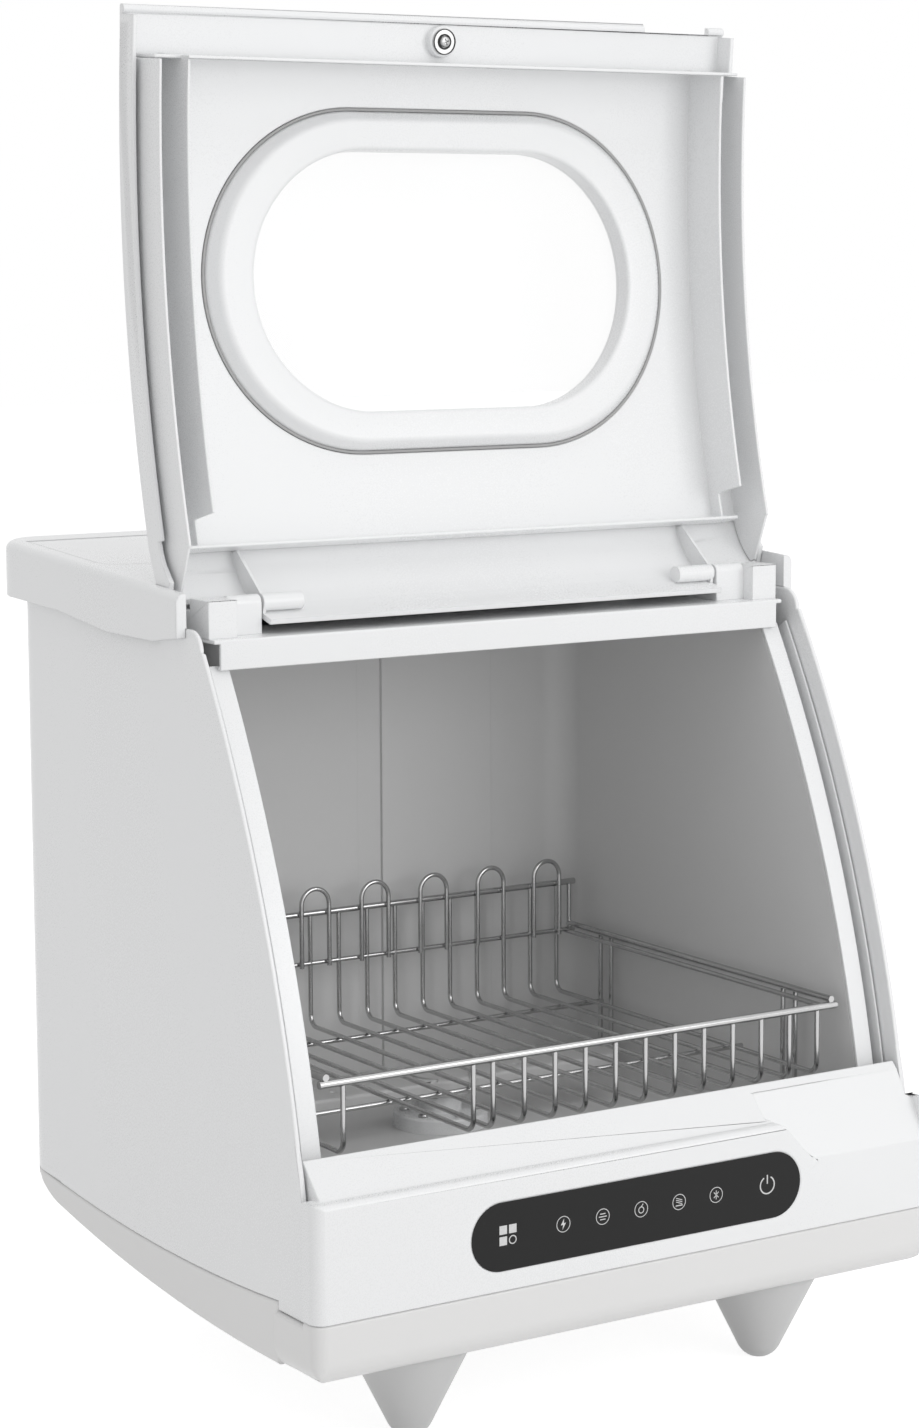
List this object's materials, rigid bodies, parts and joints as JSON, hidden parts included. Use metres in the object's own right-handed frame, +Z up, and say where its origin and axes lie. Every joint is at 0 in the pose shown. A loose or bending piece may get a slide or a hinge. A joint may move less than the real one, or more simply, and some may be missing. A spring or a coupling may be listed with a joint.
{
  "type": "countertop dishwasher",
  "caption": "Countertop dishwasher with a curved windowed lid that swings up, a wire dish rack over a spray arm, and pumps, tank and sump in its base.",
  "frame": {"origin": "centre of the footprint on the plane that the feet stand on, with the lid open", "axes": "+X to the right seen from the front, +Y from the control panel to the rear, +Z up"},
  "size_m": [0.426, 0.379, 0.786],
  "materials": {
    "white_plastic": "satin white moulded plastic",
    "warm_white_plastic": "matte warm white moulded plastic",
    "grey_plastic": "matte light grey moulded plastic",
    "tub_grey": "matte mid grey moulded plastic",
    "tank_plastic": "milky moulded plastic",
    "float_plastic": "foamed plastic",
    "overlay_black": "gloss black film with printed icons",
    "black_plastic": "matte black moulded plastic",
    "black_rubber": "matte black rubber",
    "grey_rubber": "matte light grey rubber",
    "board_green": "green circuit board",
    "steel": "bright machined steel",
    "rack_steel": "polished stainless wire",
    "magnet": "dark sintered magnet",
    "motor_metal": "zinc plated steel can",
    "window_clear": "clear curved window"
  },
  "bodies": {
    "base": {"base_tray": "warm_white_plastic", "left_side_panel": "white_plastic", "right_side_panel": "white_plastic", "rear_panel": "white_plastic", "top_cap": "white_plastic", "front_fascia": "white_plastic", "front_rail": "white_plastic", "left_hinge_block": "white_plastic", "right_hinge_block": "white_plastic", "hinge_screws": "steel", "control_overlay": "overlay_black", "touch_board": "board_green", "catch_magnet": "magnet", "lid_reed_switch": "black_plastic", "front_left_foot": "grey_plastic", "front_right_foot": "grey_plastic", "rear_left_foot": "grey_plastic", "rear_right_foot": "grey_plastic", "foot_screws": "steel", "tub_liner": "tub_grey", "tub_frame": "white_plastic", "spray_hub": "white_plastic", "hub_screws": "steel", "sump": "grey_plastic", "heater_ring": "steel", "wash_pump_housing": "grey_plastic", "wash_pump_motor": "motor_metal", "feed_pipe": "grey_plastic", "drain_pump_housing": "grey_plastic", "drain_pump_motor": "motor_metal", "drain_hose": "black_rubber", "drain_port": "grey_plastic", "water_tank": "tank_plastic", "fill_funnel": "grey_plastic", "fill_hose": "grey_plastic", "board_box": "tub_grey", "main_board": "board_green", "cable_gland": "black_plastic", "fan_housing": "tub_grey", "air_duct": "tub_grey", "rear_grille": "grey_plastic", "rear_screws": "steel"},
    "lid": {"lid_shell": "white_plastic", "lid_liner": "white_plastic", "window_ring": "white_plastic", "window_seal": "grey_rubber", "window_pane": "window_clear", "catch_washer": "steel", "catch_screw": "steel", "left_hinge_pin": "steel", "right_hinge_pin": "steel"},
    "fill_cover": {"fill_cover": "white_plastic", "fill_cover_pins": "steel"},
    "spray_arm": {"spray_arm": "grey_plastic"},
    "wash_impeller": {"wash_impeller": "grey_plastic"},
    "drain_impeller": {"drain_impeller": "grey_plastic"},
    "fan_impeller": {"fan_impeller": "black_plastic"},
    "dish_rack": {"dish_rack": "rack_steel"},
    "filter": {"filter": "grey_plastic"},
    "tank_float": {"tank_float": "float_plastic"}
  },
  "joints": [
    {"name": "lid_hinge", "type": "hinge", "parent": "base", "child": "lid", "pos_m": [0, -0.0415, 0.457], "axis": [1, 0, 0], "range_deg": [0, 164.5]},
    {"name": "fill_cover_hinge", "type": "hinge", "parent": "base", "child": "fill_cover", "pos_m": [0, 0.1625, 0.47581], "axis": [1, 0, 0], "range_deg": [-100, 0]},
    {"name": "spray_arm_spin", "type": "hinge", "parent": "base", "child": "spray_arm", "pos_m": [0, 0.0205, 0.15], "axis": [0, 0, 1], "continuous": true},
    {"name": "wash_pump_spin", "type": "hinge", "parent": "base", "child": "wash_impeller", "pos_m": [0.1, 0.0065, 0.0975], "axis": [1, 0, 0], "continuous": true},
    {"name": "drain_pump_spin", "type": "hinge", "parent": "base", "child": "drain_impeller", "pos_m": [0.1, 0.1105, 0.102], "axis": [1, 0, 0], "continuous": true},
    {"name": "fan_spin", "type": "hinge", "parent": "base", "child": "fan_impeller", "pos_m": [0.11, 0.0255, 0.45], "axis": [0, 0, 1], "continuous": true},
    {"name": "rack_lift", "type": "slide", "parent": "base", "child": "dish_rack", "axis": [0, 0, 1], "range_m": [0, 0.06]},
    {"name": "filter_lift", "type": "slide", "parent": "base", "child": "filter", "axis": [0, 0, 1], "range_m": [0, 0.025]},
    {"name": "float_lift", "type": "slide", "parent": "base", "child": "tank_float", "axis": [0, 0, 1], "range_m": [0, 0.017]}
  ]
}
